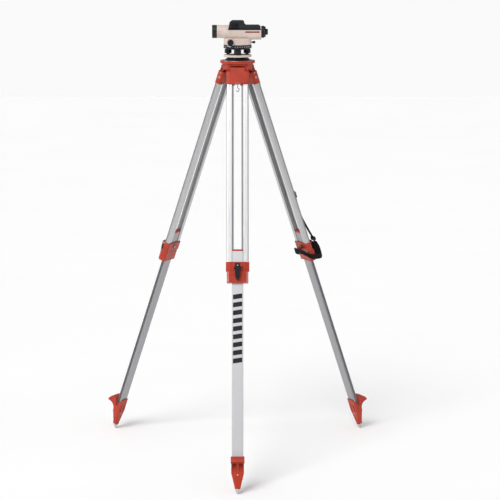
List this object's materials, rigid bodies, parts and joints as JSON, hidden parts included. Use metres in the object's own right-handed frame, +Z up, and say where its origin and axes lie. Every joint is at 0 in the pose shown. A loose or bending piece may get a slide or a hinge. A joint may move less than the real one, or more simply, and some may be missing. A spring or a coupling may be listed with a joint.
{
  "type": "automatic level",
  "caption": "Automatic level on an adjustable three-legged stand: telescope with compensator, levelling base, spreading telescopic legs with lever clamps.",
  "frame": {"origin": "middle of the object's box in plan, on the ground", "axes": "+Z up, -X the way the telescope looks, -Y towards the front leg"},
  "size_m": [1.0196, 0.883, 1.6188],
  "materials": {
    "bare_aluminium": "anodised extrusion, fine lengthwise drawing lines",
    "orange_casting": "orange-red powder coat over cast aluminium",
    "orange_plastic": "satin orange-red moulding",
    "bright_steel": "turned and plated",
    "black_plastic": "fine-grained black moulding",
    "black_casting": "black anodised",
    "tan_casting": "semi-gloss pinkish tan paint with a light texture",
    "black_webbing": "woven polypropylene webbing",
    "clear_glass": "coated optical glass",
    "brass": "machined"
  },
  "bodies": {
    "tripod_head": {"head_plate": "bare_aluminium", "head_casting": "orange_casting", "hinge_bolt_front": "bright_steel", "hinge_bolt_right": "bright_steel", "hinge_bolt_left": "bright_steel", "spring_plate": "black_casting", "base_plate": "tan_casting", "tribrach": "black_casting"},
    "upper_leg_front": {"leg_yoke_front": "orange_casting", "rail_front_a": "bare_aluminium", "rail_front_b": "bare_aluminium", "leg_clamp_front": "orange_plastic"},
    "lower_leg_front": {"inner_leg_front": "bare_aluminium", "end_plug_front": "orange_plastic", "foot_front": "orange_casting", "foot_point_front": "bright_steel"},
    "lever_front": {"clamp_lever_front": "black_plastic"},
    "upper_leg_right": {"leg_yoke_right": "orange_casting", "rail_right_a": "bare_aluminium", "rail_right_b": "bare_aluminium", "leg_clamp_right": "orange_plastic", "carry_strap": "black_webbing", "strap_slider": "black_plastic", "strap_hook": "black_plastic", "strap_loop": "black_webbing"},
    "lower_leg_right": {"inner_leg_right": "bare_aluminium", "end_plug_right": "orange_plastic", "foot_right": "orange_casting", "foot_point_right": "bright_steel"},
    "lever_right": {"clamp_lever_right": "black_plastic"},
    "upper_leg_left": {"leg_yoke_left": "orange_casting", "rail_left_a": "bare_aluminium", "rail_left_b": "bare_aluminium", "leg_clamp_left": "orange_plastic"},
    "lower_leg_left": {"inner_leg_left": "bare_aluminium", "end_plug_left": "orange_plastic", "foot_left": "orange_casting", "foot_point_left": "bright_steel"},
    "lever_left": {"clamp_lever_left": "black_plastic"},
    "fixing_screw": {"fixing_screw": "black_plastic", "plumb_hook": "bright_steel"},
    "foot_screw_1": {"foot_screw_1": "black_plastic"},
    "foot_screw_2": {"foot_screw_2": "black_plastic"},
    "foot_screw_3": {"foot_screw_3": "black_plastic"},
    "horizontal_circle": {"horizontal_circle": "black_casting"},
    "alidade": {"housing": "tan_casting", "top_cover": "black_plastic", "objective_ring": "black_plastic", "objective_lens": "clear_glass", "eyepiece_mount": "black_plastic", "reticle_plate": "clear_glass", "vial_cup": "black_plastic", "vial_glass": "clear_glass"},
    "tangent_shaft": {"tangent_shaft": "black_plastic"},
    "focus_knob": {"focus_knob": "black_plastic"},
    "focusing_cell": {"focusing_cell": "black_plastic"},
    "eyepiece_ring": {"eyepiece_ring": "black_plastic"},
    "eyepiece_lens": {"eyepiece_lens": "clear_glass"},
    "compensator": {"compensator": "brass"},
    "check_button": {"check_button": "black_plastic"}
  },
  "joints": [
    {"name": "leg_spread_front", "type": "hinge", "parent": "tripod_head", "child": "upper_leg_front", "pos_m": [0, 0.0893, 1.44149], "axis": [-1, 0, 0], "range_deg": [-19.5, 15]},
    {"name": "leg_extend_front", "type": "slide", "parent": "upper_leg_front", "child": "lower_leg_front", "axis": [0, -0.342, -0.9397], "range_m": [-0.585, 0]},
    {"name": "lever_swing_front", "type": "hinge", "parent": "upper_leg_front", "child": "lever_front", "pos_m": [0, -0.18275, 0.77005], "axis": [-1, 0, 0], "range_deg": [0, 110]},
    {"name": "leg_spread_right", "type": "hinge", "parent": "tripod_head", "child": "upper_leg_right", "pos_m": [0.0381, 0.1553, 1.44149], "axis": [0.5, -0.866, 0], "range_deg": [-19.5, 15]},
    {"name": "leg_extend_right", "type": "slide", "parent": "upper_leg_right", "child": "lower_leg_right", "axis": [0.2962, 0.171, -0.9397], "range_m": [-0.585, 0]},
    {"name": "lever_swing_right", "type": "hinge", "parent": "upper_leg_right", "child": "lever_right", "pos_m": [0.27371, 0.29133, 0.77005], "axis": [0.5, -0.866, 0], "range_deg": [0, 110]},
    {"name": "leg_spread_left", "type": "hinge", "parent": "tripod_head", "child": "upper_leg_left", "pos_m": [-0.0381, 0.1553, 1.44149], "axis": [0.5, 0.866, 0], "range_deg": [-19.5, 15]},
    {"name": "leg_extend_left", "type": "slide", "parent": "upper_leg_left", "child": "lower_leg_left", "axis": [-0.2962, 0.171, -0.9397], "range_m": [-0.585, 0]},
    {"name": "lever_swing_left", "type": "hinge", "parent": "upper_leg_left", "child": "lever_left", "pos_m": [-0.27371, 0.29133, 0.77005], "axis": [0.5, 0.866, 0], "range_deg": [0, 110]},
    {"name": "fixing_screw_turn", "type": "hinge", "parent": "tripod_head", "child": "fixing_screw", "pos_m": [0, 0.1333, 1.44449], "axis": [0, 0, 1], "continuous": true},
    {"name": "foot_screw_turn_1", "type": "hinge", "parent": "tripod_head", "child": "foot_screw_1", "pos_m": [0, 0.0933, 1.50549], "axis": [0, 0, 1], "range_deg": [-720, 720]},
    {"name": "foot_screw_turn_2", "type": "hinge", "parent": "tripod_head", "child": "foot_screw_2", "pos_m": [0.03464, 0.1533, 1.50549], "axis": [0, 0, 1], "range_deg": [-720, 720]},
    {"name": "foot_screw_turn_3", "type": "hinge", "parent": "tripod_head", "child": "foot_screw_3", "pos_m": [-0.03464, 0.1533, 1.50549], "axis": [0, 0, 1], "range_deg": [-720, 720]},
    {"name": "circle_turn", "type": "hinge", "parent": "tripod_head", "child": "horizontal_circle", "pos_m": [0, 0.1333, 1.52399], "axis": [0, 0, 1], "continuous": true},
    {"name": "alidade_turn", "type": "hinge", "parent": "tripod_head", "child": "alidade", "pos_m": [0, 0.1333, 1.54449], "axis": [0, 0, 1], "continuous": true},
    {"name": "tangent_turn", "type": "hinge", "parent": "alidade", "child": "tangent_shaft", "pos_m": [-0.0256, 0.1333, 1.54109], "axis": [0, 1, 0], "continuous": true},
    {"name": "focus_turn", "type": "hinge", "parent": "alidade", "child": "focus_knob", "pos_m": [0.005, 0.1733, 1.57249], "axis": [0, -1, 0], "range_deg": [-540, 540]},
    {"name": "focus_travel", "type": "slide", "parent": "alidade", "child": "focusing_cell", "axis": [1, 0, 0], "range_m": [-0.0121, 0.0121]},
    {"name": "eyepiece_turn", "type": "hinge", "parent": "alidade", "child": "eyepiece_ring", "pos_m": [0.106, 0.1333, 1.57709], "axis": [1, 0, 0], "range_deg": [-150, 150]},
    {"name": "eyepiece_travel", "type": "slide", "parent": "alidade", "child": "eyepiece_lens", "axis": [1, 0, 0], "range_m": [-0.00205, 0.00205]},
    {"name": "compensator_swing", "type": "hinge", "parent": "alidade", "child": "compensator", "pos_m": [0.002, 0.1333, 1.60849], "axis": [0, 1, 0], "range_deg": [-0.25, 0.25]},
    {"name": "check_press", "type": "slide", "parent": "alidade", "child": "check_button", "axis": [-1, 0, 0], "range_m": [0, 0.003], "stiffness_N_per_m": 200}
  ],
  "couplings": [
    {"joint": "focus_travel", "follows": "focus_turn", "m_per_rad": 0.0012732},
    {"joint": "eyepiece_travel", "follows": "eyepiece_turn", "m_per_rad": 0.00076394}
  ]
}
